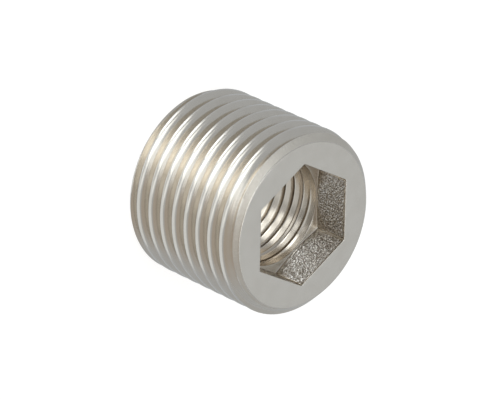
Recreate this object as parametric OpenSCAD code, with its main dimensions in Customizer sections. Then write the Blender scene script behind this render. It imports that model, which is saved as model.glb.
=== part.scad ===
// Reducing bushing, turned in one piece: an outside pipe thread over its whole length,
// a smaller inside pipe thread tapped from the plain end, and a hexagon socket for a key
// in the other end. Both threads are true right-hand helices.
// The origin is the centre of the plain end, and +Z runs along the axis, out of the socket.
// All lengths are in millimetres and all angles in degrees.

/* [Body] */
// Length from the plain end to the socket face
body_len = 16; // [13:0.5:24]
// Length of the bevel between the socket face and the outside thread
face_bevel_len = 1.2; // [0.6:0.1:2.4]
// How far that bevel comes in from the crests at the socket face
face_bevel_in = 1.1; // [0.4:0.1:1.6]
// Length of the bevel at the plain end
end_bevel_len = 0.6; // [0.2:0.1:1.6]
// How far that bevel comes in from the crests at the plain end
end_bevel_in = 0.4; // [0.2:0.1:1.2]

/* [Outside thread] */
// Diameter over the crests
male_d = 20.4; // [19.4:0.1:26]
// Distance from one crest to the next
male_pitch = 1.814; // [1.4:0.001:2.2]
// Width of the flat land along each crest
male_land = 0.1; // [0.05:0.05:0.4]
// Radius that rounds off the edges of the crest
male_round = 0.54; // [0.15:0.01:0.6]
// Width of the flat bottom of the groove
male_root = 0.14; // [0.1:0.02:0.4]
// Where a crest's lower edge crosses the plain end, as an angle from +X
male_start = 357; // [0:1:359]

/* [Inside thread] */
// Diameter of the hole drilled before tapping
bore_d = 11.8; // [9:0.1:12]
// Distance from one crest to the next
female_pitch = 1.337; // [0.9:0.001:1.6]
// Width of the land left along each crest
female_land = 0.4; // [0.3:0.05:0.5]
// Width of the flat bottom of the groove
female_root = 0.22; // [0.1:0.02:0.3]
// Length of drilled hole left plain between the thread and the socket
plain_len = 1; // [0.6:0.1:3]
// Length over which the thread fades out towards the plain hole
fade_len = 2.4; // [1.2:0.1:4]
// How far the bevel at the thread's mouth reaches past the roots
mouth_bevel = 0.25; // [0.1:0.05:0.6]
// Where a crest's lower edge crosses the plain end, as an angle from +X
female_start = 38; // [0:1:359]

/* [Socket] */
// Distance across the flats of the hexagon
socket_af = 12; // [10:0.1:14]
// Depth from the face to the ledge under the flats
socket_depth = 4; // [2:0.1:6]

/* [Smoothness] */
// Straight steps in one turn of the outside thread
male_steps = 36; // [24:4:44]
// Straight steps in one turn of the inside thread
female_steps = 30; // [24:3:36]

/* [Hidden] */

// Both threads have straight flanks at this angle to the radius
flank = 27.5;
// Extra depth by which a cut passes the surface that it breaks through
past = 0.06;
// The inside crests stand back this far from the drilled hole, so that the hole runs clear through them
crest_back = 0.06;
// Plain cuts run this far out of the ends
run_out = 1;
turned_fn = 144;

male_r = male_d / 2;
bore_r = bore_d / 2;
face_r = male_r - face_bevel_in;
end_r = male_r - end_bevel_in;
socket_floor = body_len - socket_depth;
thread_end = socket_floor - plain_len;

// Rounding a crest's edge between the land and the flank takes this much of the width on each side
round_span = male_round * tan((90 - flank) / 2);
male_depth = (male_pitch - male_land - 2 * round_span - male_root) / (2 * tan(flank));

female_crest_r = bore_r + crest_back;
female_depth = (female_pitch - female_land - female_root) / (2 * tan(flank));
female_root_r = female_crest_r + female_depth;
mouth_r = female_root_r + mouth_bevel;

// One pitch of the outside thread, upwards from the lower edge of a crest's land: [radius, height].
// The crest's rounded edges are drawn with their two tangent points and the point between them.
male_profile = let (
    mid = (90 - flank) / 2,
    round_r = male_r - male_round,
    gap = male_pitch - male_land,
    edge = [for (a = [0, mid, 90 - flank]) [round_r + male_round * cos(a), male_round * sin(a)]]
) concat(
    [for (e = edge) [e[0], male_land + e[1]]],
    [[male_r - male_depth, male_land + (gap - male_root) / 2]],
    [[male_r - male_depth, male_land + (gap + male_root) / 2]],
    [for (i = [2 : -1 : 0]) [edge[i][0], male_pitch - edge[i][1]]]
);

// One pitch of the inside thread, drawn in the same way
female_profile = let (rise = female_depth * tan(flank)) [
    [female_crest_r, 0],
    [female_crest_r, female_land],
    [female_root_r, female_land + rise],
    [female_root_r, female_land + rise + female_root]
];

// A rod with a right-hand thread standing on it. The profile is one pitch of the thread, and
// reach gives the largest radius allowed at each height. Rows of points follow the helix from
// two pitches below the origin, and each ragged end is closed by a fan of triangles from the axis.
module threaded_rod(profile, pitch, steps, high, reach = function(z) 1000) {
    low = -2 * pitch;
    turns = ceil((high - low) / pitch);
    per_turn = len(profile);
    rows = per_turn * turns;
    points = [
        for (i = [0 : steps - 1], s = [0 : rows])
        let (
            p = profile[s % per_turn],
            z = low + pitch * (floor(s / per_turn) + i / steps) + p[1],
            r = min(p[0], reach(z)),
            a = 360 * i / steps
        )
        [r * cos(a), r * sin(a), z]
    ];
    foot = len(points);
    head = foot + 1;
    centres = [[0, 0, low], [0, 0, low + pitch * (turns + 1)]];
    // The point of row s at step i, where a full turn leads one pitch up
    function at(i, s) = i < steps ? i * (rows + 1) + s : s + per_turn;
    sides = [
        for (i = [0 : steps - 1], s = [0 : rows - 1])
        if (i < steps - 1 || s < rows - per_turn)
        each [
            [at(i, s + 1), at(i + 1, s + 1), at(i + 1, s)],
            [at(i, s + 1), at(i + 1, s), at(i, s)]
        ]
    ];
    foot_fan = [for (i = [0 : steps - 1]) [foot, at(i, 0), at(i + 1, 0)]];
    foot_step = [for (s = [0 : per_turn - 1]) [foot, s + 1, s]];
    head_fan = [for (i = [0 : steps - 2]) [head, at(i + 1, rows), at(i, rows)]];
    head_close = [[head, rows, at(steps - 1, rows - per_turn)]];
    head_step = [for (s = [rows - per_turn : rows - 1]) [head, at(steps - 1, s), at(steps - 1, s + 1)]];
    polyhedron(
        concat(points, centres),
        concat(sides, foot_fan, foot_step, head_fan, head_close, head_step)
    );
}

// How far out the inside thread still reaches at a height: full depth at first, then less,
// down to the drilled hole at the thread's end
function fade_r(z) = bore_r + (thread_end - z) * (female_root_r - bore_r) / fade_len;

// The outline that limits the rod: flat ends, and the two bevels carried on past the crests
module bevelled_ends() {
    beyond = 1;
    rotate_extrude($fn = turned_fn)
        polygon([
            [0, 0],
            [end_r, 0],
            [end_r + beyond, beyond * end_bevel_len / end_bevel_in],
            [face_r + face_bevel_in + beyond, body_len / 2],
            [face_r + beyond, body_len - beyond * face_bevel_len / face_bevel_in],
            [face_r, body_len],
            [0, body_len]
        ]);
}

module outside_thread() {
    rotate([0, 0, male_start])
        threaded_rod(male_profile, male_pitch, male_steps, body_len + past);
}

module drilled_hole() {
    translate([0, 0, -run_out])
        cylinder(r = bore_r, h = body_len + 2 * run_out, $fn = turned_fn);
}

module mouth() {
    drop = mouth_r - bore_r;
    translate([0, 0, -run_out])
        cylinder(r1 = mouth_r + run_out, r2 = bore_r - past, h = run_out + drop + past, $fn = turned_fn);
}

module inside_thread() {
    rotate([0, 0, female_start])
        threaded_rod(female_profile, female_pitch, female_steps, thread_end + past, function(z) fade_r(z));
}

module socket() {
    translate([0, 0, socket_floor])
        cylinder(d = socket_af / cos(30), h = socket_depth + run_out, $fn = 6);
}

module bushing() {
    color([0.70, 0.69, 0.66])
        difference() {
            intersection() {
                outside_thread();
                bevelled_ends();
            }
            drilled_hole();
            mouth();
            inside_thread();
            socket();
        }
}

bushing();
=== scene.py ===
import math

import bpy
from mathutils import Matrix, Vector


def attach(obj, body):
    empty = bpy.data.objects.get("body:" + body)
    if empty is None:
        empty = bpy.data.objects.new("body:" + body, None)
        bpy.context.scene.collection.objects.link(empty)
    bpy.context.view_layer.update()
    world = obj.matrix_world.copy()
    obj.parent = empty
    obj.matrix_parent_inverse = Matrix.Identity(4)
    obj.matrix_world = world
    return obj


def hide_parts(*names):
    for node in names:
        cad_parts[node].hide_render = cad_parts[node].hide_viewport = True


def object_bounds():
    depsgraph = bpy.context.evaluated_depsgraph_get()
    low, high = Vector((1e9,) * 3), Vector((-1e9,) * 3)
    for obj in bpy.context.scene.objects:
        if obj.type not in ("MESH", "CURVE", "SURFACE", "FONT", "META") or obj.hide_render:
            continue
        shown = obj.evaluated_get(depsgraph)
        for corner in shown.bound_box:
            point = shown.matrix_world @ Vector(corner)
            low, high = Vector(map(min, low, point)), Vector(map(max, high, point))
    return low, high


# A reducing bushing in nickel-plated brass: pipe threads outside and inside, and a hexagon socket.
# Sizes in the dictionaries are in millimetres and degrees, and a lamp's power is in watts.
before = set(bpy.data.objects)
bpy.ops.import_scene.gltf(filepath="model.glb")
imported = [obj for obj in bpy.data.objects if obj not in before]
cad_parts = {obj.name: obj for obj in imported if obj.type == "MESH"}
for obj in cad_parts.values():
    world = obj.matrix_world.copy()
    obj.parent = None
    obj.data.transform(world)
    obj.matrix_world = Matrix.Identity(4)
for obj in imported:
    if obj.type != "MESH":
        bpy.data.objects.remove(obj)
cadLow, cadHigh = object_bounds()
millimetre = 0.001

scene = bpy.context.scene
scene.view_settings.view_transform = "Standard"


def linearColour(hexCode):
    channels = [int(hexCode[i:i + 2], 16) / 255 for i in (1, 3, 5)]
    return [c / 12.92 if c <= 0.04045 else ((c + 0.055) / 1.055) ** 2.4 for c in channels] + [1]


def addNode(tree, kind, settings=None, links=None):
    node = tree.nodes.new(kind)
    for name, value in (settings or {}).items():
        setattr(node, name, value)
    for key, value in (links or {}).items():
        if isinstance(value, bpy.types.Node):
            value = value.outputs[0]
        if isinstance(value, bpy.types.NodeSocket):
            tree.links.new(value, node.inputs[key])
        else:
            node.inputs[key].default_value = value
    return node


def newTree(name, inputs, outputKind="NodeSocketGeometry"):
    tree = bpy.data.node_groups.new(name, "GeometryNodeTree")
    kinds = {int: "NodeSocketInt", float: "NodeSocketFloat", tuple: "NodeSocketVector"}
    for label, value in inputs.items():
        socket = tree.interface.new_socket(label, in_out="INPUT", socket_type=kinds[type(value)])
        socket.default_value = value
    tree.interface.new_socket("Result", in_out="OUTPUT", socket_type=outputKind)
    given = tree.nodes.new("NodeGroupInput").outputs
    result = tree.nodes.new("NodeGroupOutput").inputs[0]
    return tree, given, result


def clearedTree(owner):
    # The emptied node tree of a material or a world
    owner.use_nodes = True
    owner.node_tree.nodes.clear()
    return owner.node_tree


def splitPlace(tree, place):
    # A point's distance from the axis and its height
    parts = addNode(tree, "ShaderNodeSeparateXYZ", None, {0: place})
    flat = addNode(tree, "ShaderNodeCombineXYZ", None,
                   {0: parts.outputs["X"], 1: parts.outputs["Y"]})
    fromAxis = addNode(tree, "ShaderNodeVectorMath", {"operation": "LENGTH"}, {0: flat})
    return fromAxis.outputs["Value"], parts.outputs["Z"]


# What a user would change on the bushing
bushingSizes = {
    "Length": (cadHigh.z - cadLow.z) / millimetre,
    "Crest Radius": (cadHigh.x - cadLow.x) / millimetre / 2,
    "Face Bevel Length": 1.2, "Face Bevel In": 1.1,
    "End Bevel Length": 0.6, "End Bevel In": 0.4,
    "Outside Pitch": 1.814, "Outside Start": 357.0, "Outside Land": 0.1,
    "Outside Crest Round": 0.54, "Outside Depth": 0.9, "Outside Root Round": 0.25,
    "Bore Radius": 5.9, "Mouth Radius": 6.9,
    "Inside Pitch": 1.337, "Inside Start": 20.0, "Inside Land": 0.8,
    "Inside Crest Round": 0.06, "Inside Depth": 0.36, "Inside Root Round": 0.1,
    "Inside End": 11.0, "Fade Length": 2.4,
    "Flank": 27.5,  # how far both threads' sides lean from square
    "Socket Apothem": 6.0, "Socket Depth": 4.0, "Corner Round": 0.16, "Ledge Fall": 15.0,
    "Edge": 0.07,  # rounding of the edges at the face, the socket and the plain end
    "Bevel Round": 0.06,  # rounding where a bevel or the fade meets a thread
    "Grain": 0.12, "Grain Size": 0.28, "Grain Seed": 3.0,  # the socket's rough walls
    "Smooth Edge": 0.15,  # the grain has set in this far from a wall's foot and head
    "Smooth Corner": 0.012, "Rough From": 0.035,  # and between these shares of a flat from a corner
    "Columns": 192, "Outside Rows": 22, "Inside Rows": 16, "Wall Rows": 30,  # steps of the mesh
    "Weld Distance": 0.0004,  # points this close become one
    "Sharp Angle": 50.0,  # edges sharper than this stay crisp
}


def buildOnCircle():
    # A point from its radius, its share of a full turn and its height
    tree, given, result = newTree("onCircle", {"Radius": 1.0, "Turn": 0.0, "Height": 0.0},
                                  "NodeSocketVector")
    angle = addNode(tree, "ShaderNodeMath", {"operation": "MULTIPLY"},
                    {0: given["Turn"], 1: 2 * math.pi})
    cosine = addNode(tree, "ShaderNodeMath", {"operation": "COSINE"}, {0: angle})
    sine = addNode(tree, "ShaderNodeMath", {"operation": "SINE"}, {0: angle})
    x = addNode(tree, "ShaderNodeMath", {"operation": "MULTIPLY"}, {0: given["Radius"], 1: cosine})
    y = addNode(tree, "ShaderNodeMath", {"operation": "MULTIPLY"}, {0: given["Radius"], 1: sine})
    point = addNode(tree, "ShaderNodeCombineXYZ", None, {0: x, 1: y, 2: given["Height"]})
    tree.links.new(point.outputs[0], result)
    return tree


def crowdSteps(tree, even, places, crowding):
    # Draws even steps together at places that divide a turn or a pitch into equal shares
    swing = addNode(tree, "ShaderNodeMath", {"operation": "MULTIPLY"},
                    {0: even, 1: 2 * math.pi * places})
    wave = addNode(tree, "ShaderNodeMath", {"operation": "SINE"}, {0: swing})
    pull = addNode(tree, "ShaderNodeMath", {"operation": "MULTIPLY"}, {0: wave, 1: crowding})
    shift = addNode(tree, "ShaderNodeMath", {"operation": "DIVIDE"},
                    {0: pull, 1: 2 * math.pi * places})
    return addNode(tree, "ShaderNodeMath", {"operation": "SUBTRACT"}, {0: even, 1: shift})


def buildColumnTurn():
    # The share of a full turn at a column. Columns crowd towards the hexagon's six corners.
    tree, given, result = newTree("columnTurn", {"Column": 0.0, "Columns": 240, "Crowding": 0.6},
                                  "NodeSocketFloat")
    even = addNode(tree, "ShaderNodeMath", {"operation": "DIVIDE"},
                   {0: given["Column"], 1: given["Columns"]})
    turn = crowdSteps(tree, even, 6, given["Crowding"])
    tree.links.new(turn.outputs[0], result)
    return tree


def buildThreadDepth():
    # How far the surface lies under the crests, as a number below zero, at a turn and a height
    tree, given, result = newTree("threadDepth", {
        "Turn": 0.0, "Height": 0.0, "Pitch": 1.8, "Start": 0.0, "Land": 0.2, "Crest Round": 0.3,
        "Depth": 1.0, "Root Round": 0.3, "Flank": 27.5}, "NodeSocketFloat")
    halfLand = addNode(tree, "ShaderNodeMath", {"operation": "MULTIPLY"},
                       {0: given["Land"], 1: 0.5})
    flank = addNode(tree, "ShaderNodeMath", {"operation": "RADIANS"}, {0: given["Flank"]})
    slope = addNode(tree, "ShaderNodeMath", {"operation": "TANGENT"}, {0: flank})
    startTurn = addNode(tree, "ShaderNodeMath", {"operation": "DIVIDE"},
                        {0: given["Start"], 1: 360.0})
    # The crest's middle climbs one pitch in a turn
    fromLand = addNode(tree, "ShaderNodeMath", {"operation": "SUBTRACT"},
                       {0: given["Height"], 1: halfLand})
    pitches = addNode(tree, "ShaderNodeMath", {"operation": "DIVIDE"},
                      {0: fromLand, 1: given["Pitch"]})
    behind = addNode(tree, "ShaderNodeMath", {"operation": "SUBTRACT"},
                     {0: pitches, 1: given["Turn"]})
    phase = addNode(tree, "ShaderNodeMath", {"operation": "ADD"}, {0: behind, 1: startTurn})
    wrapped = addNode(tree, "ShaderNodeMath", {"operation": "WRAP"}, {0: phase, 1: 0.5, 2: -0.5})
    share = addNode(tree, "ShaderNodeMath", {"operation": "ABSOLUTE"}, {0: wrapped})
    across = addNode(tree, "ShaderNodeMath", {"operation": "MULTIPLY"},
                     {0: share, 1: given["Pitch"]})
    pastLand = addNode(tree, "ShaderNodeMath", {"operation": "SUBTRACT"}, {0: across, 1: halfLand})
    outward = addNode(tree, "ShaderNodeMath", {"operation": "MAXIMUM"}, {0: pastLand, 1: 0.0})
    # A round arc leads from the land into the straight flank
    flankCosine = addNode(tree, "ShaderNodeMath", {"operation": "COSINE"}, {0: flank})
    arcEnd = addNode(tree, "ShaderNodeMath", {"operation": "MULTIPLY"},
                     {0: given["Crest Round"], 1: flankCosine})
    onArc = addNode(tree, "ShaderNodeMath", {"operation": "MINIMUM"}, {0: outward, 1: arcEnd})
    arcSquare = addNode(tree, "ShaderNodeMath", {"operation": "MULTIPLY"}, {0: onArc, 1: onArc})
    roundSquare = addNode(tree, "ShaderNodeMath", {"operation": "MULTIPLY"},
                          {0: given["Crest Round"], 1: given["Crest Round"]})
    left = addNode(tree, "ShaderNodeMath", {"operation": "SUBTRACT"},
                   {0: roundSquare, 1: arcSquare})
    rise = addNode(tree, "ShaderNodeMath", {"operation": "SQRT"}, {0: left})
    arcDrop = addNode(tree, "ShaderNodeMath", {"operation": "SUBTRACT"},
                      {0: rise, 1: given["Crest Round"]})
    onFlank = addNode(tree, "ShaderNodeMath", {"operation": "SUBTRACT"}, {0: outward, 1: onArc})
    flankDrop = addNode(tree, "ShaderNodeMath", {"operation": "DIVIDE"}, {0: onFlank, 1: slope})
    depth = addNode(tree, "ShaderNodeMath", {"operation": "SUBTRACT"}, {0: arcDrop, 1: flankDrop})
    root = addNode(tree, "ShaderNodeMath", {"operation": "MULTIPLY"}, {0: given["Depth"], 1: -1.0})
    rounded = addNode(tree, "ShaderNodeMath", {"operation": "SMOOTH_MAX"},
                      {0: depth, 1: root, 2: given["Root Round"]})
    tree.links.new(rounded.outputs[0], result)
    return tree


def layGrid(tree, given, rowSteps, columnTurn):
    # A grid whose columns go once round the bushing, with each point's row and share of a turn.
    # The turn is kept as an attribute too.
    rowCount = addNode(tree, "ShaderNodeMath", {"operation": "ADD"}, {0: rowSteps, 1: 1.0})
    columnCount = addNode(tree, "ShaderNodeMath", {"operation": "ADD"},
                          {0: given["Columns"], 1: 1.0})
    grid = addNode(tree, "GeometryNodeMeshGrid", None,
                   {"Vertices X": columnCount, "Vertices Y": rowCount})
    index = addNode(tree, "GeometryNodeInputIndex")
    # Half a step keeps the division clear of rounding
    middle = addNode(tree, "ShaderNodeMath", {"operation": "ADD"}, {0: index, 1: 0.5})
    columnShare = addNode(tree, "ShaderNodeMath", {"operation": "DIVIDE"},
                          {0: middle, 1: rowCount})
    column = addNode(tree, "ShaderNodeMath", {"operation": "FLOOR"}, {0: columnShare})
    before = addNode(tree, "ShaderNodeMath", {"operation": "MULTIPLY"}, {0: column, 1: rowCount})
    row = addNode(tree, "ShaderNodeMath", {"operation": "SUBTRACT"}, {0: index, 1: before})
    turn = addNode(tree, "GeometryNodeGroup", {"node_tree": columnTurn},
                   {"Column": column, "Columns": given["Columns"]})
    sheet = addNode(tree, "GeometryNodeStoreNamedAttribute", {"data_type": "FLOAT"},
                    {"Geometry": grid, "Name": "turn", "Value": turn})
    return sheet, row, turn


def buildHelixGrid(columnTurn):
    # A sheet of rows that follow the helix, which keeps its height as an attribute
    tree, given, result = newTree("helixGrid", {
        "Columns": 240, "Rows": 16, "Low": 0.0, "High": 1.0, "Pitch": 1.8, "Start": 0.0,
        "Land": 0.2, "Crowding": 0.3})
    reach = addNode(tree, "ShaderNodeMath", {"operation": "SUBTRACT"},
                    {0: given["High"], 1: given["Low"]})
    reachPitches = addNode(tree, "ShaderNodeMath", {"operation": "DIVIDE"},
                           {0: reach, 1: given["Pitch"]})
    wholePitches = addNode(tree, "ShaderNodeMath", {"operation": "CEIL"}, {0: reachPitches})
    # The sheet reaches past Low and High, and what is past them is pushed flat onto them
    turns = addNode(tree, "ShaderNodeMath", {"operation": "ADD"}, {0: wholePitches, 1: 2.0})
    rowSteps = addNode(tree, "ShaderNodeMath", {"operation": "MULTIPLY"},
                       {0: turns, 1: given["Rows"]})
    sheet, row, turn = layGrid(tree, given, rowSteps, columnTurn)
    # Rows crowd towards the crest and the root, where the profile bends
    even = addNode(tree, "ShaderNodeMath", {"operation": "DIVIDE"}, {0: row, 1: given["Rows"]})
    crowded = crowdSteps(tree, even, 2, given["Crowding"])
    climbed = addNode(tree, "ShaderNodeMath", {"operation": "ADD"}, {0: crowded, 1: turn})
    # The lowest row lies a whole number of pitches under a crest's middle, at least one of them
    # below Low
    halfLand = addNode(tree, "ShaderNodeMath", {"operation": "MULTIPLY"},
                       {0: given["Land"], 1: 0.5})
    startTurn = addNode(tree, "ShaderNodeMath", {"operation": "DIVIDE"},
                        {0: given["Start"], 1: 360.0})
    startRise = addNode(tree, "ShaderNodeMath", {"operation": "MULTIPLY"},
                        {0: startTurn, 1: given["Pitch"]})
    crest = addNode(tree, "ShaderNodeMath", {"operation": "SUBTRACT"},
                    {0: halfLand, 1: startRise})
    toLow = addNode(tree, "ShaderNodeMath", {"operation": "SUBTRACT"},
                    {0: given["Low"], 1: crest})
    lowPitches = addNode(tree, "ShaderNodeMath", {"operation": "DIVIDE"},
                         {0: toLow, 1: given["Pitch"]})
    lowWhole = addNode(tree, "ShaderNodeMath", {"operation": "FLOOR"}, {0: lowPitches})
    under = addNode(tree, "ShaderNodeMath", {"operation": "SUBTRACT"}, {0: lowWhole, 1: 1.0})
    rows = addNode(tree, "ShaderNodeMath", {"operation": "ADD"}, {0: under, 1: climbed})
    rowRise = addNode(tree, "ShaderNodeMath", {"operation": "MULTIPLY"},
                      {0: rows, 1: given["Pitch"]})
    free = addNode(tree, "ShaderNodeMath", {"operation": "ADD"}, {0: rowRise, 1: crest})
    above = addNode(tree, "ShaderNodeMath", {"operation": "MAXIMUM"}, {0: free, 1: given["Low"]})
    height = addNode(tree, "ShaderNodeMath", {"operation": "MINIMUM"},
                     {0: above, 1: given["High"]})
    withHeight = addNode(tree, "GeometryNodeStoreNamedAttribute", {"data_type": "FLOAT"},
                         {"Geometry": sheet, "Name": "height", "Value": height})
    tree.links.new(withHeight.outputs[0], result)
    return tree


def buildRingBand(onCircle, columnTurn):
    # A band between two rings, bent over a corner. Each point is its radius, how hexagonal its
    # ring is, from 0 to 1, and its height.
    tree, given, result = newTree("ringBand", {
        "Columns": 240, "Rows": 4, "Corner Share": 0.01, "From": (1.0, 0.0, 0.0),
        "Corner": (1.0, 0.0, 0.0), "To": (1.0, 0.0, 0.0)})
    sheet, row, turn = layGrid(tree, given, given["Rows"], columnTurn)
    share = addNode(tree, "ShaderNodeMath", {"operation": "DIVIDE"}, {0: row, 1: given["Rows"]})
    first = addNode(tree, "ShaderNodeMix", {"data_type": "VECTOR"},
                    {0: share, 4: given["From"], 5: given["Corner"]})
    second = addNode(tree, "ShaderNodeMix", {"data_type": "VECTOR"},
                     {0: share, 4: given["Corner"], 5: given["To"]})
    bent = addNode(tree, "ShaderNodeMix", {"data_type": "VECTOR"},
                   {0: share, 4: first.outputs[1], 5: second.outputs[1]})
    parts = addNode(tree, "ShaderNodeSeparateXYZ", None, {0: bent.outputs[1]})
    # The hexagon's corners lie at every sixth of a turn, so its flats are half of that further
    sixths = addNode(tree, "ShaderNodeMath", {"operation": "MULTIPLY_ADD"},
                     {0: turn, 1: 6.0, 2: -0.5})
    fromFlat = addNode(tree, "ShaderNodeMath", {"operation": "WRAP"}, {0: sixths, 1: 0.5, 2: -0.5})
    flatAngle = addNode(tree, "ShaderNodeMath", {"operation": "MULTIPLY"},
                        {0: fromFlat, 1: math.pi / 3})
    flatCosine = addNode(tree, "ShaderNodeMath", {"operation": "COSINE"}, {0: flatAngle})
    straight = addNode(tree, "ShaderNodeMath", {"operation": "DIVIDE"}, {0: 1.0, 1: flatCosine})
    stretch = addNode(tree, "ShaderNodeMath", {"operation": "SMOOTH_MIN"},
                      {0: straight, 1: 1 / math.cos(math.pi / 6), 2: given["Corner Share"]})
    factor = addNode(tree, "ShaderNodeMix", {"data_type": "FLOAT"},
                     {0: parts.outputs["Y"], 2: 1.0, 3: stretch})
    radius = addNode(tree, "ShaderNodeMath", {"operation": "MULTIPLY"},
                     {0: parts.outputs["X"], 1: factor})
    point = addNode(tree, "GeometryNodeGroup", {"node_tree": onCircle},
                    {"Radius": radius, "Turn": turn, "Height": parts.outputs["Z"]})
    placed = addNode(tree, "GeometryNodeSetPosition", None, {"Geometry": sheet, "Position": point})
    tree.links.new(placed.outputs[0], result)
    return tree


def layOutside(tree, given, groups, shared):
    # The outside thread, cut back by the bevels at both ends: its wall, and its radius at the
    # plain end's corner and a little above, where that corner starts to round
    thread = {"Pitch": given["Outside Pitch"], "Start": given["Outside Start"],
              "Land": given["Outside Land"]}
    form = {**thread, "Crest Round": given["Outside Crest Round"],
            "Depth": given["Outside Depth"], "Root Round": given["Outside Root Round"],
            "Flank": given["Flank"], "Turn": shared["turn"]}
    bevelStart = addNode(tree, "ShaderNodeMath", {"operation": "SUBTRACT"},
                         {0: given["Length"], 1: given["Face Bevel Length"]})
    endSlope = addNode(tree, "ShaderNodeMath", {"operation": "DIVIDE"},
                       {0: given["End Bevel In"], 1: given["End Bevel Length"]})
    cuts = {}
    for place, where in (("wall", shared["height"]), ("corner", 0.0), ("foot", shared["edge"])):
        depth = addNode(tree, "GeometryNodeGroup", {"node_tree": groups["threadDepth"]},
                        {**form, "Height": where})
        toBevel = addNode(tree, "ShaderNodeMath", {"operation": "SUBTRACT"},
                          {0: bevelStart, 1: where})
        faceBevel = addNode(tree, "ShaderNodeMath", {"operation": "MULTIPLY"},
                            {0: toBevel, 1: shared["faceSlope"]})
        belowFace = addNode(tree, "ShaderNodeMath", {"operation": "SMOOTH_MIN"},
                            {0: depth, 1: faceBevel, 2: given["Bevel Round"]})
        fromBevel = addNode(tree, "ShaderNodeMath", {"operation": "SUBTRACT"},
                            {0: where, 1: given["End Bevel Length"]})
        endBevel = addNode(tree, "ShaderNodeMath", {"operation": "MULTIPLY"},
                           {0: fromBevel, 1: endSlope})
        belowEnd = addNode(tree, "ShaderNodeMath", {"operation": "SMOOTH_MIN"},
                           {0: belowFace, 1: endBevel, 2: given["Bevel Round"]})
        radius = addNode(tree, "ShaderNodeMath", {"operation": "ADD"},
                         {0: given["Crest Radius"], 1: belowEnd})
        cuts[place] = {"radius": radius, "depth": depth, "faceBevel": faceBevel}
    sheet = addNode(tree, "GeometryNodeGroup", {"node_tree": groups["helixGrid"]},
                    {**thread, "Columns": given["Columns"], "Rows": given["Outside Rows"],
                     "Low": shared["edge"], "High": shared["wallHead"]})
    point = addNode(tree, "GeometryNodeGroup", {"node_tree": groups["onCircle"]},
                    {"Radius": cuts["wall"]["radius"], "Turn": shared["turn"],
                     "Height": shared["height"]})
    placed = addNode(tree, "GeometryNodeSetPosition", None, {"Geometry": sheet, "Position": point})
    # The face's bevel is duller than the thread, which the material reads from this attribute
    threadOver = addNode(tree, "ShaderNodeMath", {"operation": "SUBTRACT"},
                         {0: cuts["wall"]["depth"], 1: cuts["wall"]["faceBevel"]})
    dull = addNode(tree, "ShaderNodeMapRange", None, {0: threadOver, 2: given["Bevel Round"]})
    wall = addNode(tree, "GeometryNodeStoreNamedAttribute", {"data_type": "FLOAT"},
                   {"Geometry": placed, "Name": "dull", "Value": dull})
    return wall, cuts["corner"]["radius"], cuts["foot"]["radius"]


def layInside(tree, given, groups, shared):
    # The inside thread, which fades out towards the socket and opens into the mouth at the plain
    # end
    thread = {"Pitch": given["Inside Pitch"], "Start": given["Inside Start"],
              "Land": given["Inside Land"]}
    place = {"Turn": shared["turn"], "Height": shared["height"]}
    depth = addNode(tree, "GeometryNodeGroup", {"node_tree": groups["threadDepth"]},
                    {**thread, **place, "Crest Round": given["Inside Crest Round"],
                     "Depth": given["Inside Depth"], "Root Round": given["Inside Root Round"],
                     "Flank": given["Flank"]})
    fadeSlope = addNode(tree, "ShaderNodeMath", {"operation": "DIVIDE"},
                        {0: given["Inside Depth"], 1: given["Fade Length"]})
    toEnd = addNode(tree, "ShaderNodeMath", {"operation": "SUBTRACT"},
                    {0: shared["height"], 1: given["Inside End"]})
    fade = addNode(tree, "ShaderNodeMath", {"operation": "MULTIPLY"}, {0: toEnd, 1: fadeSlope})
    faded = addNode(tree, "ShaderNodeMath", {"operation": "SMOOTH_MAX"},
                    {0: depth, 1: fade, 2: given["Bevel Round"]})
    kept = addNode(tree, "ShaderNodeMath", {"operation": "MINIMUM"}, {0: faded, 1: 0.0})
    mouthDrop = addNode(tree, "ShaderNodeMath", {"operation": "SUBTRACT"},
                        {0: given["Mouth Radius"], 1: given["Bore Radius"]})
    mouth = addNode(tree, "ShaderNodeMath", {"operation": "SUBTRACT"},
                    {0: shared["height"], 1: mouthDrop})
    opened = addNode(tree, "ShaderNodeMath", {"operation": "SMOOTH_MIN"},
                     {0: kept, 1: mouth, 2: given["Bevel Round"]})
    radius = addNode(tree, "ShaderNodeMath", {"operation": "SUBTRACT"},
                     {0: given["Bore Radius"], 1: opened})
    sheet = addNode(tree, "GeometryNodeGroup", {"node_tree": groups["helixGrid"]},
                    {**thread, "Columns": given["Columns"], "Rows": given["Inside Rows"],
                     "Low": shared["edge"], "High": shared["boreHead"]})
    point = addNode(tree, "GeometryNodeGroup", {"node_tree": groups["onCircle"]},
                    {**place, "Radius": radius})
    placed = addNode(tree, "GeometryNodeSetPosition", None, {"Geometry": sheet, "Position": point})
    flipped = addNode(tree, "GeometryNodeFlipFaces", None, {"Mesh": placed})
    # The bore is painted darker than the rest, as painted shade in its deep recess; the material
    # reads where from this attribute
    return addNode(tree, "GeometryNodeStoreNamedAttribute", {"data_type": "FLOAT"},
                   {"Geometry": flipped, "Name": "bore", "Value": 1.0})


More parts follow.
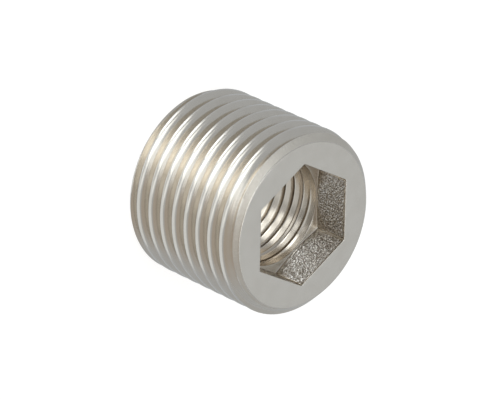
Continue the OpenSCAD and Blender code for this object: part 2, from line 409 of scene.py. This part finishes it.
def roughenSocket(tree, given, band, shared):
    # The socket's walls are left rough: their points move in and out, but not at the foot, the
    # head and the corners, where the tool's edge left a smooth line. The material reads from the
    # attribute where the wall is coarse.
    frequency = addNode(tree, "ShaderNodeMath", {"operation": "DIVIDE"},
                        {0: 1.0, 1: given["Grain Size"]})
    noise = addNode(tree, "ShaderNodeTexNoise", {"noise_dimensions": "4D"},
                    {"W": given["Grain Seed"], "Scale": frequency, "Detail": 1.0,
                     "Roughness": 0.5})
    centred = addNode(tree, "ShaderNodeMath", {"operation": "SUBTRACT"}, {0: noise, 1: 0.5})
    place = addNode(tree, "GeometryNodeInputPosition")
    height = addNode(tree, "ShaderNodeSeparateXYZ", None, {0: place}).outputs["Z"]
    fromFoot = addNode(tree, "ShaderNodeMath", {"operation": "SUBTRACT"},
                       {0: height, 1: shared["wallFoot"]})
    fromHead = addNode(tree, "ShaderNodeMath", {"operation": "SUBTRACT"},
                       {0: shared["wallHead"], 1: height})
    nearest = addNode(tree, "ShaderNodeMath", {"operation": "MINIMUM"}, {0: fromFoot, 1: fromHead})
    ends = addNode(tree, "ShaderNodeMapRange", None, {0: nearest, 2: given["Smooth Edge"]})
    sixths = addNode(tree, "ShaderNodeMath", {"operation": "MULTIPLY"},
                     {0: shared["turn"], 1: 6.0})
    fromCorner = addNode(tree, "ShaderNodeMath", {"operation": "WRAP"},
                         {0: sixths, 1: 0.5, 2: -0.5})
    aside = addNode(tree, "ShaderNodeMath", {"operation": "ABSOLUTE"}, {0: fromCorner})
    corners = addNode(tree, "ShaderNodeMapRange", None,
                      {0: aside, 1: given["Smooth Corner"], 2: given["Rough From"]})
    share = addNode(tree, "ShaderNodeMath", {"operation": "MULTIPLY"}, {0: ends, 1: corners})
    swell = addNode(tree, "ShaderNodeMath", {"operation": "MULTIPLY"}, {0: centred, 1: share})
    amount = addNode(tree, "ShaderNodeMath", {"operation": "MULTIPLY"},
                     {0: swell, 1: given["Grain"]})
    normal = addNode(tree, "GeometryNodeInputNormal")
    offset = addNode(tree, "ShaderNodeVectorMath", {"operation": "SCALE"},
                     {0: normal, "Scale": amount})
    moved = addNode(tree, "GeometryNodeSetPosition", None, {"Geometry": band, "Offset": offset})
    return addNode(tree, "GeometryNodeStoreNamedAttribute", {"data_type": "FLOAT"},
                   {"Geometry": moved, "Name": "coarse", "Value": share})


def layRings(tree, given, groups, shared, cornerRadius, footRadius):
    # Bands from the outside thread over the face, down the socket and to the bore, and from the
    # mouth over the plain end
    edge, top, ledge = shared["edge"], given["Length"], shared["ledge"]
    bore, mouth, apothem = given["Bore Radius"], given["Mouth Radius"], given["Socket Apothem"]
    faceRadius = addNode(tree, "ShaderNodeMath", {"operation": "SUBTRACT"},
                         {0: given["Crest Radius"], 1: given["Face Bevel In"]})
    bevelRadius = addNode(tree, "ShaderNodeMath", {"operation": "MULTIPLY_ADD"},
                          {0: shared["faceSlope"], 1: edge, 2: faceRadius})
    faceOutside = addNode(tree, "ShaderNodeMath", {"operation": "SUBTRACT"},
                          {0: faceRadius, 1: edge})
    faceInside = addNode(tree, "ShaderNodeMath", {"operation": "ADD"}, {0: apothem, 1: edge})
    ledgeOutside = addNode(tree, "ShaderNodeMath", {"operation": "SUBTRACT"},
                           {0: apothem, 1: shared["halfEdge"]})
    ledgeInside = addNode(tree, "ShaderNodeMath", {"operation": "ADD"},
                          {0: bore, 1: shared["halfEdge"]})
    mouthInside = addNode(tree, "ShaderNodeMath", {"operation": "SUBTRACT"}, {0: mouth, 1: edge})
    mouthOutside = addNode(tree, "ShaderNodeMath", {"operation": "ADD"}, {0: mouth, 1: edge})
    # Each ring's radius, how hexagonal it is, and its height
    ringPoints = {
        "faceBevel": (bevelRadius, 0.0, shared["wallHead"]),
        "faceCorner": (faceRadius, 0.0, top),
        "faceOutside": (faceOutside, 0.0, top),
        "faceInside": (faceInside, 1.0, top),
        "socketCorner": (apothem, 1.0, top),
        "wallHead": (apothem, 1.0, shared["wallHead"]),
        "wallFoot": (apothem, 1.0, shared["wallFoot"]),
        "footCorner": (apothem, 1.0, ledge),
        "ledgeOutside": (ledgeOutside, 1.0, ledge),
        "ledgeInside": (ledgeInside, 0.0, ledge),
        "boreCorner": (bore, 0.0, ledge),
        "boreHead": (bore, 0.0, shared["boreHead"]),
        "mouthWall": (mouthInside, 0.0, edge),
        "mouthCorner": (mouth, 0.0, 0.0),
        "endInside": (mouthOutside, 0.0, 0.0),
        "endCorner": (cornerRadius, 0.0, 0.0),
        "endWall": (footRadius, 0.0, edge),
    }
    rings = {name: addNode(tree, "ShaderNodeCombineXYZ", None, dict(enumerate(point)))
             for name, point in ringPoints.items()}
    endStep = addNode(tree, "ShaderNodeCombineXYZ", None, {0: edge})
    rings["endOutside"] = addNode(tree, "ShaderNodeVectorMath", {"operation": "SUBTRACT"},
                                  {0: rings["endCorner"], 1: endStep})
    # Each band leads from a ring, round a corner or straight on, to another ring, in so many rows
    plan = [
        ("faceBevel", "faceCorner", "faceOutside", 4), ("faceOutside", None, "faceInside", 10),
        ("faceInside", "socketCorner", "wallHead", 4),
        ("wallHead", None, "wallFoot", given["Wall Rows"]),
        ("wallFoot", "footCorner", "ledgeOutside", 3), ("ledgeOutside", None, "ledgeInside", 3),
        ("ledgeInside", "boreCorner", "boreHead", 3),
        ("mouthWall", "mouthCorner", "endInside", 4), ("endInside", None, "endOutside", 8),
        ("endOutside", "endCorner", "endWall", 4),
    ]
    cornerShare = addNode(tree, "ShaderNodeMath", {"operation": "DIVIDE"},
                          {0: given["Corner Round"], 1: apothem})
    bands = []
    for start, corner, end, rows in plan:
        if corner:
            bend = rings[corner]
        else:
            bothEnds = addNode(tree, "ShaderNodeVectorMath", {"operation": "ADD"},
                               {0: rings[start], 1: rings[end]})
            bend = addNode(tree, "ShaderNodeVectorMath", {"operation": "SCALE"},
                           {0: bothEnds, "Scale": 0.5})
        band = addNode(tree, "GeometryNodeGroup", {"node_tree": groups["ringBand"]},
                       {"Columns": given["Columns"], "Rows": rows, "Corner Share": cornerShare,
                        "From": rings[start], "Corner": bend, "To": rings[end]})
        if start == "wallHead":
            band = roughenSocket(tree, given, band, shared)
        bands.append(band)
    return bands


def dropLedge(tree, given, body, shared):
    # The drill's point left the ledge under the flats falling towards the bore, as a cone that
    # starts at the hexagon's corners. The walls above and the bore below take up the drop.
    fromAxis, height = splitPlace(tree, addNode(tree, "GeometryNodeInputPosition"))
    corner = addNode(tree, "ShaderNodeMath", {"operation": "DIVIDE"},
                     {0: given["Socket Apothem"], 1: math.cos(math.pi / 6)})
    inward = addNode(tree, "ShaderNodeMath", {"operation": "SUBTRACT"}, {0: corner, 1: fromAxis})
    within = addNode(tree, "ShaderNodeMath", {"operation": "MAXIMUM"}, {0: inward, 1: 0.0})
    fall = addNode(tree, "ShaderNodeMath", {"operation": "RADIANS"}, {0: given["Ledge Fall"]})
    slope = addNode(tree, "ShaderNodeMath", {"operation": "TANGENT"}, {0: fall})
    drop = addNode(tree, "ShaderNodeMath", {"operation": "MULTIPLY"}, {0: within, 1: slope})
    fromHead = addNode(tree, "ShaderNodeMapRange", None,
                       {0: height, 1: shared["wallHead"], 2: shared["wallFoot"]})
    fromThread = addNode(tree, "ShaderNodeMapRange", None,
                         {0: height, 1: given["Inside End"], 2: shared["boreHead"]})
    share = addNode(tree, "ShaderNodeMath", {"operation": "MULTIPLY"}, {0: fromHead, 1: fromThread})
    down = addNode(tree, "ShaderNodeMath", {"operation": "MULTIPLY"}, {0: share, 1: -1.0})
    amount = addNode(tree, "ShaderNodeMath", {"operation": "MULTIPLY"}, {0: drop, 1: down})
    offset = addNode(tree, "ShaderNodeCombineXYZ", None, {2: amount})
    return addNode(tree, "GeometryNodeSetPosition", None, {"Geometry": body, "Offset": offset})


def buildBushingTree():
    onCircle = buildOnCircle()
    columnTurn = buildColumnTurn()
    groups = {"onCircle": onCircle, "threadDepth": buildThreadDepth(),
              "helixGrid": buildHelixGrid(columnTurn),
              "ringBand": buildRingBand(onCircle, columnTurn)}
    tree, given, result = newTree("bushingForm", bushingSizes)

    # What the walls and the rings share: a point's own turn and height, and the heights at which
    # the walls meet the rounded edges
    edge = given["Edge"]
    turn = addNode(tree, "GeometryNodeInputNamedAttribute", {"data_type": "FLOAT"},
                   {"Name": "turn"})
    height = addNode(tree, "GeometryNodeInputNamedAttribute", {"data_type": "FLOAT"},
                     {"Name": "height"})
    faceSlope = addNode(tree, "ShaderNodeMath", {"operation": "DIVIDE"},
                        {0: given["Face Bevel In"], 1: given["Face Bevel Length"]})
    wallHead = addNode(tree, "ShaderNodeMath", {"operation": "SUBTRACT"},
                       {0: given["Length"], 1: edge})
    ledge = addNode(tree, "ShaderNodeMath", {"operation": "SUBTRACT"},
                    {0: given["Length"], 1: given["Socket Depth"]})
    wallFoot = addNode(tree, "ShaderNodeMath", {"operation": "ADD"}, {0: ledge, 1: edge})
    # The ledge under the flats is narrow, so the edges beside it are half as wide
    halfEdge = addNode(tree, "ShaderNodeMath", {"operation": "MULTIPLY"}, {0: edge, 1: 0.5})
    boreHead = addNode(tree, "ShaderNodeMath", {"operation": "SUBTRACT"}, {0: ledge, 1: halfEdge})
    shared = {"turn": turn, "height": height, "edge": edge, "halfEdge": halfEdge,
              "faceSlope": faceSlope, "wallHead": wallHead, "wallFoot": wallFoot,
              "ledge": ledge, "boreHead": boreHead}

    outsideWall, cornerRadius, footRadius = layOutside(tree, given, groups, shared)
    insideWall = layInside(tree, given, groups, shared)
    bands = layRings(tree, given, groups, shared, cornerRadius, footRadius)
    joined = addNode(tree, "GeometryNodeJoinGeometry")
    for wall in [outsideWall, insideWall] + bands:
        tree.links.new(wall.outputs[0], joined.inputs[0])
    closed = addNode(tree, "GeometryNodeMergeByDistance", None,
                     {"Geometry": joined, "Distance": given["Weld Distance"]})
    coned = dropLedge(tree, given, closed, shared)
    smooth = addNode(tree, "GeometryNodeSetShadeSmooth", {"domain": "FACE"},
                     {"Geometry": coned, "Shade Smooth": True})
    angle = addNode(tree, "GeometryNodeInputMeshEdgeAngle")
    sharpFrom = addNode(tree, "ShaderNodeMath", {"operation": "RADIANS"},
                        {0: given["Sharp Angle"]})
    sharp = addNode(tree, "ShaderNodeMath", {"operation": "GREATER_THAN"},
                    {0: angle.outputs["Unsigned Angle"], 1: sharpFrom})
    creased = addNode(tree, "GeometryNodeSetShadeSmooth", {"domain": "EDGE"},
                      {"Geometry": smooth, "Selection": sharp, "Shade Smooth": False})
    sized = addNode(tree, "GeometryNodeTransform", None,
                    {"Geometry": creased, "Scale": (millimetre,) * 3})
    real = addNode(tree, "GeometryNodeRealizeInstances", None, {"Geometry": sized})
    dressed = addNode(tree, "GeometryNodeSetMaterial", None,
                      {"Geometry": real, "Material": makePlating()})
    tree.links.new(dressed.outputs[0], result)
    return tree


# Colours, roughness and grain of the plating: on the thread and the face, on the socket's pressed
# walls, whose speckle is painted glints and painted shade, on the face's bevel, and in the bore,
# which is painted darker as painted shade. Real lathe rings and plating grain are only a few
# hundredths of a millimetre wide, so they are drawn coarser to show.
platingLook = {
    "colour": "#D4CBBD",  # nickel's own reflectance
    "shade": "#CAC0B1", "cloudSize": 1.5,
    "roughness": 0.24, "roughnessSpread": 0.05,
    "ringSize": 0.12, "ringStrength": 0.1, "ringHeight": 0.01,
    "grainSize": 0.2, "grainStrength": 0.08, "grainHeight": 0.02,
    # Speckle on the pressed walls: painted shade in the pits and painted glints on the facets,
    # spread by random noise
    "paintedPitShade": "#A4988A", "paintedFacetGlint": "#EFE8DD", "pitShadeBelow": 0.38, "facetGlintAbove": 0.66,
    "coarseFrom": 0.5, "coarseRoughness": 0.3, "coarseGrainSize": 0.19, "coarseHeight": 0.15,
    "bevelRoughness": 0.55, "bevelSparkle": 0.4,
    # The bore's colour is painted shade, darker than the nickel, for its deep recess
    "paintedBoreShade": "#C0B4A3",
}


def makePlating():
    # Satin nickel plating over turned brass: warm grey metal with soft highlights, faint rings left
    # by the lathe, a matt grain on the socket's pressed walls with painted glints and painted pit
    # shade in its speckle, a little of the bumped grain on the face's bevel, and painted shade that
    # darkens the bore
    material = bpy.data.materials.new("satinNickelPlatedBrass")
    tree = clearedTree(material)
    coordinates = addNode(tree, "ShaderNodeTexCoord").outputs["Object"]
    coarse, dull, bore = [
        addNode(tree, "ShaderNodeAttribute", {"attribute_name": name}).outputs["Fac"]
        for name in ("coarse", "dull", "bore")]
    cloud = addNode(tree, "ShaderNodeTexNoise", None,
                    {"Vector": coordinates, "Detail": 3.0,
                     "Scale": 1 / (platingLook["cloudSize"] * millimetre)})
    plain = addNode(tree, "ShaderNodeMix", {"data_type": "RGBA"},
                    {0: cloud.outputs[0], 6: linearColour(platingLook["colour"]),
                     7: linearColour(platingLook["shade"])})
    # The bore is painted darker, as painted shade
    withBoreShade = addNode(tree, "ShaderNodeMix", {"data_type": "RGBA"},
                     {0: bore, 6: plain.outputs[2], 7: linearColour(platingLook["paintedBoreShade"])})
    # Pressed walls are speckled at random with painted shade in the pits and painted glints on the
    # facets, over their bumped grain
    sparkle = addNode(tree, "ShaderNodeTexNoise", None,
                      {"Vector": coordinates, "Detail": 1.0,
                       "Scale": 1 / (platingLook["coarseGrainSize"] * millimetre)})
    glintShare = addNode(tree, "ShaderNodeMapRange", None,
                    {0: sparkle, 1: platingLook["pitShadeBelow"], 2: platingLook["facetGlintAbove"]})
    glintsAndPitShade = addNode(tree, "ShaderNodeMix", {"data_type": "RGBA"},
                       {0: glintShare, 6: linearColour(platingLook["paintedPitShade"]),
                        7: linearColour(platingLook["paintedFacetGlint"])})
    pressed = addNode(tree, "ShaderNodeMapRange", None, {0: coarse, 1: platingLook["coarseFrom"]})
    colour = addNode(tree, "ShaderNodeMix", {"data_type": "RGBA"},
                     {0: pressed, 6: withBoreShade.outputs[2], 7: glintsAndPitShade.outputs[2]})
    grain = addNode(tree, "ShaderNodeTexNoise", None,
                    {"Vector": coordinates, "Detail": 2.0,
                     "Scale": 1 / (platingLook["grainSize"] * millimetre)})
    # Lathe rings depend on the distance from the axis and on the height, not on the angle
    fromAxis, height = splitPlace(tree, coordinates)
    ringPlace = addNode(tree, "ShaderNodeCombineXYZ", None, {0: fromAxis, 1: height})
    rings = addNode(tree, "ShaderNodeTexNoise", None,
                    {"Vector": ringPlace, "Detail": 1.0,
                     "Scale": 1 / (platingLook["ringSize"] * millimetre)})
    ringBump = addNode(tree, "ShaderNodeBump", None,
                       {"Strength": platingLook["ringStrength"], "Height": rings,
                        "Distance": platingLook["ringHeight"] * millimetre})
    grainBump = addNode(tree, "ShaderNodeBump", None,
                        {"Strength": platingLook["grainStrength"], "Height": grain,
                         "Distance": platingLook["grainHeight"] * millimetre,
                         "Normal": ringBump})
    onBevel = addNode(tree, "ShaderNodeMath", {"operation": "MULTIPLY"},
                      {0: dull, 1: platingLook["bevelSparkle"]})
    sparkling = addNode(tree, "ShaderNodeMath", {"operation": "MAXIMUM"}, {0: coarse, 1: onBevel})
    bump = addNode(tree, "ShaderNodeBump", None,
                   {"Strength": sparkling, "Height": sparkle, "Normal": grainBump,
                    "Distance": platingLook["coarseHeight"] * millimetre})
    base = addNode(tree, "ShaderNodeMapRange", None,
                   {0: coarse, 3: platingLook["roughness"], 4: platingLook["coarseRoughness"]})
    duller = addNode(tree, "ShaderNodeMapRange", None,
                     {0: dull, 3: base, 4: platingLook["bevelRoughness"]})
    spread = addNode(tree, "ShaderNodeMapRange", None,
                     {0: grain, 3: -platingLook["roughnessSpread"],
                      4: platingLook["roughnessSpread"]})
    roughness = addNode(tree, "ShaderNodeMath", {"operation": "ADD"}, {0: duller, 1: spread})
    shader = addNode(tree, "ShaderNodeBsdfPrincipled", None,
                     {"Base Color": colour.outputs[2], "Metallic": 1.0, "Roughness": roughness,
                      "Normal": bump})
    addNode(tree, "ShaderNodeOutputMaterial", None, {"Surface": shader})
    return material


def makeBushing():
    mesh = bpy.data.meshes.new("bushingBody")
    holder = bpy.data.objects.new("formHolder", mesh)
    scene.collection.objects.link(holder)
    modifier = holder.modifiers.new("bushingForm", "NODES")
    modifier.node_group = buildBushingTree()
    for item in modifier.node_group.interface.items_tree:
        if item.in_out == "INPUT":
            modifier[item.identifier] = bushingSizes[item.name]
    depsgraph = bpy.context.evaluated_depsgraph_get()
    body = bpy.data.objects.new("bushingBody",
                                bpy.data.meshes.new_from_object(holder.evaluated_get(depsgraph)))
    holder.modifiers.remove(modifier)
    bpy.data.objects.remove(holder)
    scene.collection.objects.link(body)
    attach(body, "root")
    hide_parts("bushing")
    return body


body = makeBushing()
print("bushing made:", len(body.data.vertices), "points,", len(body.data.polygons), "faces")

# The camera stands where the photograph's did, as seen from the middle of the socket's face
cameraSizes = {
    "fromAxis": 48.39, "azimuth": -63.217, "roll": 114.739, "distance": 465.7,
    "right": 5.507, "up": -2.630, "focalPixels": 4500, "picturePixels": 500,
    "sensorWidth": 36, "nearest": 10,
}


def cameraAxes():
    lean = math.radians(cameraSizes["fromAxis"])
    roll = math.radians(cameraSizes["roll"])
    side = Vector((0, 1, 0))
    climb = Vector((-math.cos(lean), 0, math.sin(lean)))
    back = Vector((math.sin(lean), 0, math.cos(lean)))
    right = math.cos(roll) * side + math.sin(roll) * climb
    up = math.cos(roll) * climb - math.sin(roll) * side
    turn = Matrix.Rotation(math.radians(cameraSizes["azimuth"]), 3, "Z")
    return turn @ right, turn @ up, turn @ back


def seenFromCamera(towards):
    # A direction given as the camera's right, up and back, in the bushing's own axes
    right, up, back = cameraAxes()
    x, y, z = towards
    return (right * x + up * y + back * z).normalized()


def makeCamera():
    right, up, back = cameraAxes()
    offset = back * cameraSizes["distance"] - right * cameraSizes["right"] - up * cameraSizes["up"]
    data = bpy.data.cameras.new("camera")
    data.sensor_width = cameraSizes["sensorWidth"]
    data.lens = cameraSizes["focalPixels"] / cameraSizes["picturePixels"] * data.sensor_width
    data.clip_start = cameraSizes["nearest"] * millimetre
    camera = bpy.data.objects.new("camera", data)
    place = Matrix((right, up, back)).transposed().to_4x4()
    place.translation = Vector((0, 0, cadHigh.z)) + offset * millimetre
    camera.matrix_world = place
    scene.collection.objects.link(camera)
    scene.camera = camera


makeCamera()
print("camera placed")

# Soft lamps round the bushing. Each direction is in the camera's right, up and back.
lampLook = {"colour": "#EDF6FF", "away": 250}
lampSizes = {
    "keySoftbox": {"towards": (-0.81, 0.5, 0.28), "size": 120, "power": 0.085},
    "frontLeftSoftbox": {"towards": (-0.5, 0.5, 0.7), "size": 220, "power": 0.17},
    "leftSoftbox": {"towards": (-0.78, 0.03, 0.62), "size": 150, "power": 0.03},
    "upperSoftbox": {"towards": (-0.15, 0.62, 0.77), "size": 180, "power": 0.09},
    "cameraSoftbox": {"towards": (0.06, 0.14, 0.985), "size": 190, "power": 0.085},
    "edgeSoftbox": {"towards": (-0.95, 0.02, 0.3), "size": 110, "power": 0.024},
    "topSoftbox": {"towards": (-0.57, 0.81, -0.06), "size": 130, "power": 0.06},
    "behindSoftbox": {"towards": (-0.6, 0.74, -0.3), "size": 100, "power": 0.062},
    "rearSoftbox": {"towards": (-0.86, 0.32, -0.4), "size": 130, "power": 0.035},
    "lowerLeftSoftbox": {"towards": (-0.88, -0.43, -0.2), "size": 300, "power": 0.1},
    "faceSoftbox": {"towards": (0.9, -0.42, -0.12), "size": 300, "power": 0.028},
    "socketSoftbox": {"towards": (0.84, -0.4, 0.36), "size": 90, "power": 0.055},
    "frontSoftbox": {"towards": (0.49, -0.17, 0.86), "size": 100, "power": 0.03},
}


def makeLamps():
    middle = (cadLow + cadHigh) / 2
    for name, sizes in lampSizes.items():
        direction = seenFromCamera(sizes["towards"])
        data = bpy.data.lights.new(name, "AREA")
        data.shape = "DISK"
        data.size = sizes["size"] * millimetre
        data.energy = sizes["power"]
        data.color = linearColour(lampLook["colour"])[:3]
        lamp = bpy.data.objects.new(name, data)
        lamp.matrix_world = direction.to_track_quat("Z", "Y").to_matrix().to_4x4()
        lamp.location = middle + direction * lampLook["away"] * millimetre
        lamp.visible_camera = False
        scene.collection.objects.link(lamp)


# The camera sees white, and the metal the cool light grey of a studio, with a patch of warmer,
# dimmer light below the camera. The patch's rim and heart are cosines of the angle from its middle.
worldLook = {
    "seen": "#FFFFFF", "cool": "#C3CBD5", "warm": "#BDB8B2",
    "warmTowards": (0.1, -0.65, 0.75), "warmRim": 0.7, "warmHeart": 0.95,
}


def makeWorld():
    world = bpy.data.worlds.new("whiteStudio")
    tree = clearedTree(world)
    direction = addNode(tree, "ShaderNodeTexCoord").outputs["Generated"]
    facing = addNode(tree, "ShaderNodeVectorMath", {"operation": "DOT_PRODUCT"},
                     {0: direction, 1: seenFromCamera(worldLook["warmTowards"])})
    warmth = addNode(tree, "ShaderNodeMapRange", None,
                     {0: facing.outputs["Value"], 1: worldLook["warmRim"],
                      2: worldLook["warmHeart"]})
    studio = addNode(tree, "ShaderNodeMix", {"data_type": "RGBA"},
                     {0: warmth, 6: linearColour(worldLook["cool"]),
                      7: linearColour(worldLook["warm"])})
    path = addNode(tree, "ShaderNodeLightPath")
    colour = addNode(tree, "ShaderNodeMix", {"data_type": "RGBA"},
                     {0: path.outputs["Is Camera Ray"], 6: studio.outputs[2],
                      7: linearColour(worldLook["seen"])})
    background = addNode(tree, "ShaderNodeBackground", None, {"Color": colour.outputs[2]})
    addNode(tree, "ShaderNodeOutputWorld", None, {"Surface": background})
    scene.world = world


# A wide table that glows white to the camera, so that only the shade under the bushing shows
floorLook = {"width": 1200, "gap": 0.02, "colour": "#A29D96", "glow": 0.8, "glowColour": "#FFFFFF"}


def makeFloor():
    half = floorLook["width"] / 2 * millimetre
    z = cadLow.z - floorLook["gap"] * millimetre
    corners = [(-half, -half, z), (half, -half, z), (half, half, z), (-half, half, z)]
    mesh = bpy.data.meshes.new("floor")
    mesh.from_pydata(corners, [], [(0, 1, 2, 3)])
    floor = bpy.data.objects.new("floor", mesh)
    # A matt table top, white to the camera and a dim, warm grey to the bushing
    material = bpy.data.materials.new("whiteTable")
    tree = clearedTree(material)
    path = addNode(tree, "ShaderNodeLightPath")
    matt = addNode(tree, "ShaderNodeBsdfDiffuse", None,
                   {"Color": linearColour(floorLook["colour"])})
    share = addNode(tree, "ShaderNodeMath", {"operation": "MULTIPLY"},
                    {0: path.outputs["Is Camera Ray"], 1: floorLook["glow"]})
    glow = addNode(tree, "ShaderNodeEmission", None,
                   {"Color": linearColour(floorLook["glowColour"]), "Strength": share})
    both = addNode(tree, "ShaderNodeAddShader", None, {0: matt, 1: glow})
    addNode(tree, "ShaderNodeOutputMaterial", None, {"Surface": both})
    mesh.materials.append(material)
    # The metal mirrors the studio below it too, and lamps that stand lower than the table light it
    floor.visible_glossy = False
    floor.visible_shadow = False
    scene.collection.objects.link(floor)


makeLamps()
makeWorld()
makeFloor()
print("studio lit")
